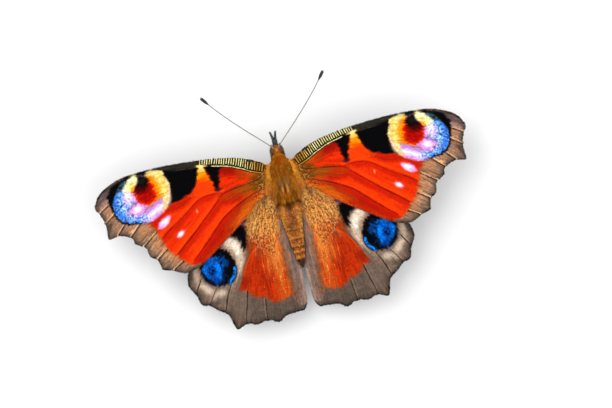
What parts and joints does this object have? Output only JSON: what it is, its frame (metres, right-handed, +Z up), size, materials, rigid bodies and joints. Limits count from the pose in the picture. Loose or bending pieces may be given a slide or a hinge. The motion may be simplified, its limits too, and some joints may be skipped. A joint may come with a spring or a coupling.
{
  "type": "peacock butterfly",
  "caption": "Life-size peacock butterfly basking on its feet with all wings spread flat, eyespots up, antennae raised ahead.",
  "frame": {"origin": "on the floor under the middle of the whole butterfly's box", "axes": "+X to the animal's right wing tip, +Y towards its head, +Z up"},
  "size_m": [0.0624, 0.039, 0.0092],
  "materials": {
    "forewing_scales": "velvety scales, brick red with black, yellow and blue markings",
    "hindwing_scales": "velvety scales, rust brown with a grey margin and a black and blue eyespot",
    "body_fur": "dense olive-brown and orange hair",
    "leg_cuticle": "scaly brown cuticle with short hair",
    "antenna_cuticle": "satin, ringed pale and dark",
    "dark_cuticle": "dark brown satin cuticle",
    "eye_cornea": "glossy dark brown facets"
  },
  "bodies": {
    "root": {"head": "body_fur", "eye_left": "eye_cornea", "eye_right": "eye_cornea", "antenna_left": "antenna_cuticle", "antenna_right": "antenna_cuticle", "palp_left": "dark_cuticle", "palp_right": "dark_cuticle", "proboscis": "dark_cuticle", "thorax": "body_fur", "abdomen": "body_fur", "foreleg_left": "leg_cuticle", "foreleg_right": "leg_cuticle", "forewing_left": "forewing_scales", "forewing_right": "forewing_scales", "hindwing_left": "hindwing_scales", "hindwing_right": "hindwing_scales", "leg_mid_femur_left": "leg_cuticle", "leg_mid_femur_right": "leg_cuticle", "leg_mid_tibia_left": "leg_cuticle", "leg_mid_tibia_right": "leg_cuticle", "leg_mid_tarsus_left": "leg_cuticle", "leg_mid_tarsus_right": "leg_cuticle", "leg_hind_femur_left": "leg_cuticle", "leg_hind_femur_right": "leg_cuticle", "leg_hind_tibia_left": "leg_cuticle", "leg_hind_tibia_right": "leg_cuticle", "leg_hind_tarsus_left": "leg_cuticle", "leg_hind_tarsus_right": "leg_cuticle"}
  },
  "joints": []
}
